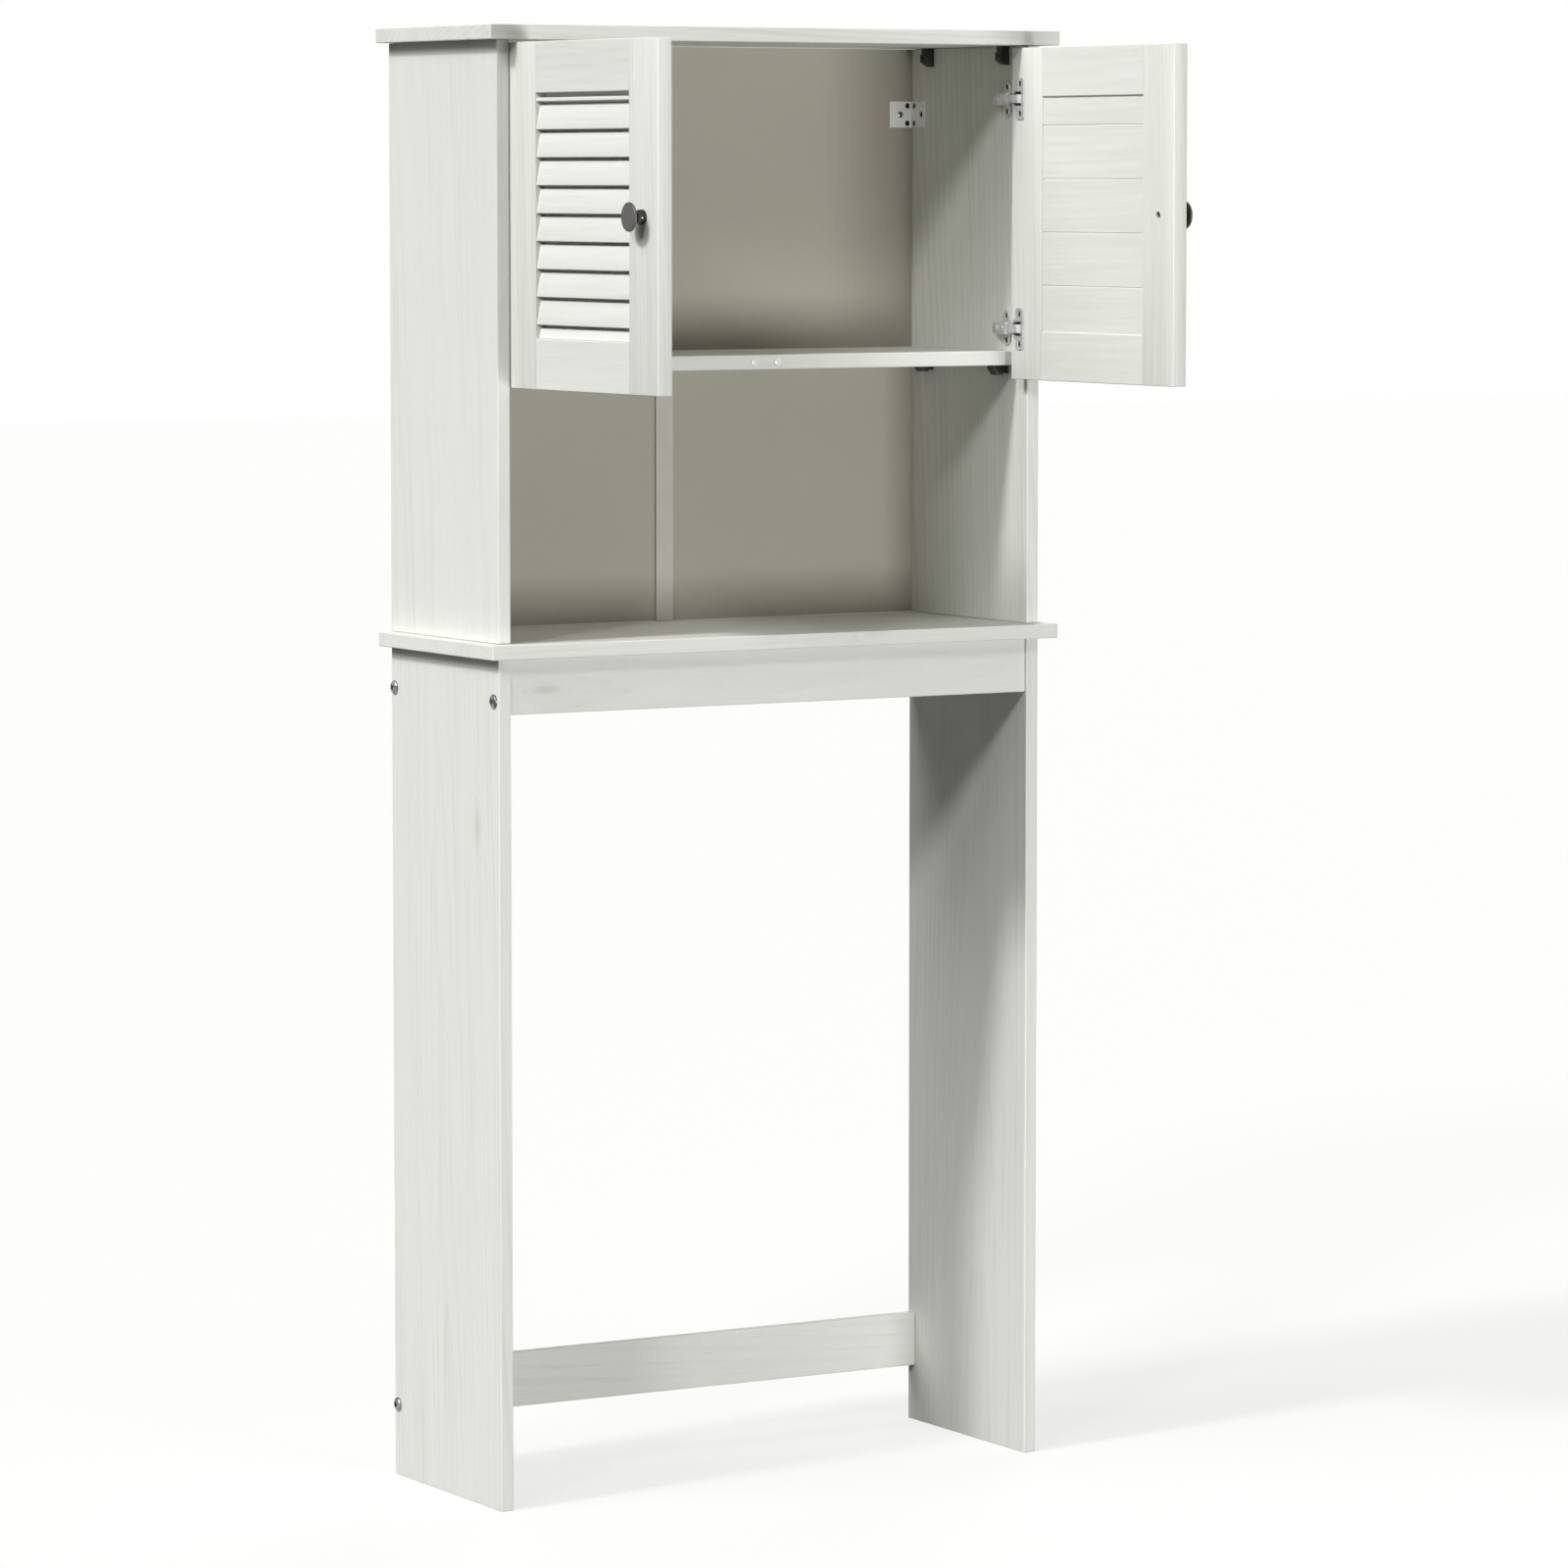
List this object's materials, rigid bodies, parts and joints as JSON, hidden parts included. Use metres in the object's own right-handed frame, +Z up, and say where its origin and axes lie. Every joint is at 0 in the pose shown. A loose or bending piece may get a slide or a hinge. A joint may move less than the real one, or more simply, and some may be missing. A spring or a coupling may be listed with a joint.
{
  "type": "washing machine cabinet",
  "caption": "White-washed pine cabinet that stands over a washing machine: a bay below, an open niche above it and a cupboard with louvred doors on concealed hinges.",
  "frame": {"origin": "on the floor, under the centre of the bounding box with both doors open", "axes": "+Z up, -Y towards the front, +X to the right as seen from the front"},
  "size_m": [0.72, 0.575, 1.61],
  "materials": {
    "washed_pine": "white-washed, satin",
    "back_board": "thin board, matt",
    "dark_bronze": "dark bronze, satin",
    "nickel": "nickel plated",
    "bolt_steel": "zinc plated",
    "black_plastic": "moulded",
    "white_bracket": "white, satin",
    "clear_bumper": "soft, milky"
  },
  "bodies": {
    "cabinet": {"back_joining_strip": "washed_pine", "front_apron": "washed_pine", "left_back_panel": "back_board", "left_bolt_front_top": "bolt_steel", "left_bolt_rear_bottom": "bolt_steel", "left_bolt_rear_top": "bolt_steel", "left_bumper": "clear_bumper", "left_connector_shelf_front": "black_plastic", "left_connector_shelf_rear": "black_plastic", "left_connector_top_front": "black_plastic", "left_connector_top_rear": "black_plastic", "left_hinge_arm_lower": "nickel", "left_hinge_arm_upper": "nickel", "left_hinge_plate_lower": "nickel", "left_hinge_plate_upper": "nickel", "left_lower_side": "washed_pine", "left_upper_side": "washed_pine", "left_wall_bracket": "white_bracket", "middle_board": "washed_pine", "rear_bottom_rail": "washed_pine", "rear_top_rail": "washed_pine", "right_back_panel": "back_board", "right_bolt_front_top": "bolt_steel", "right_bolt_rear_bottom": "bolt_steel", "right_bolt_rear_top": "bolt_steel", "right_bumper": "clear_bumper", "right_connector_shelf_front": "black_plastic", "right_connector_shelf_rear": "black_plastic", "right_connector_top_front": "black_plastic", "right_connector_top_rear": "black_plastic", "right_hinge_arm_lower": "nickel", "right_hinge_arm_upper": "nickel", "right_hinge_plate_lower": "nickel", "right_hinge_plate_upper": "nickel", "right_lower_side": "washed_pine", "right_upper_side": "washed_pine", "right_wall_bracket": "white_bracket", "shelf": "washed_pine", "top_board": "washed_pine"},
    "left_door": {"left_door_louvre_frame": "washed_pine", "left_door_top_rail": "washed_pine", "left_door_bottom_rail": "washed_pine", "left_door_back_panel": "washed_pine", "left_door_knob": "dark_bronze", "left_hinge_cup_upper": "nickel", "left_hinge_cup_lower": "nickel"},
    "left_links": {"left_hinge_link_upper": "nickel", "left_hinge_link_lower": "nickel"},
    "right_door": {"right_door_louvre_frame": "washed_pine", "right_door_top_rail": "washed_pine", "right_door_bottom_rail": "washed_pine", "right_door_back_panel": "washed_pine", "right_door_knob": "dark_bronze", "right_hinge_cup_upper": "nickel", "right_hinge_cup_lower": "nickel"},
    "right_links": {"right_hinge_link_upper": "nickel", "right_hinge_link_lower": "nickel"}
  },
  "joints": [
    {"name": "left_door_hinge", "type": "hinge", "parent": "cabinet", "child": "left_door", "pos_m": [-0.3251, 0.03687, 1.40625], "axis": [0, 0, -1], "range_deg": [-90, 5]},
    {"name": "left_links_turn", "type": "hinge", "parent": "cabinet", "child": "left_links", "pos_m": [-0.3251, 0.03687, 1.40625], "axis": [0, 0, -1], "range_deg": [-45, 2.5]},
    {"name": "right_door_hinge", "type": "hinge", "parent": "cabinet", "child": "right_door", "pos_m": [0.3251, 0.03687, 1.40625], "axis": [0, 0, 1], "range_deg": [-90, 5]},
    {"name": "right_links_turn", "type": "hinge", "parent": "cabinet", "child": "right_links", "pos_m": [0.3251, 0.03687, 1.40625], "axis": [0, 0, 1], "range_deg": [-45, 2.5]}
  ],
  "couplings": [
    {"joint": "left_links_turn", "follows": "left_door_hinge", "ratio": 0.5},
    {"joint": "right_links_turn", "follows": "right_door_hinge", "ratio": 0.5}
  ]
}
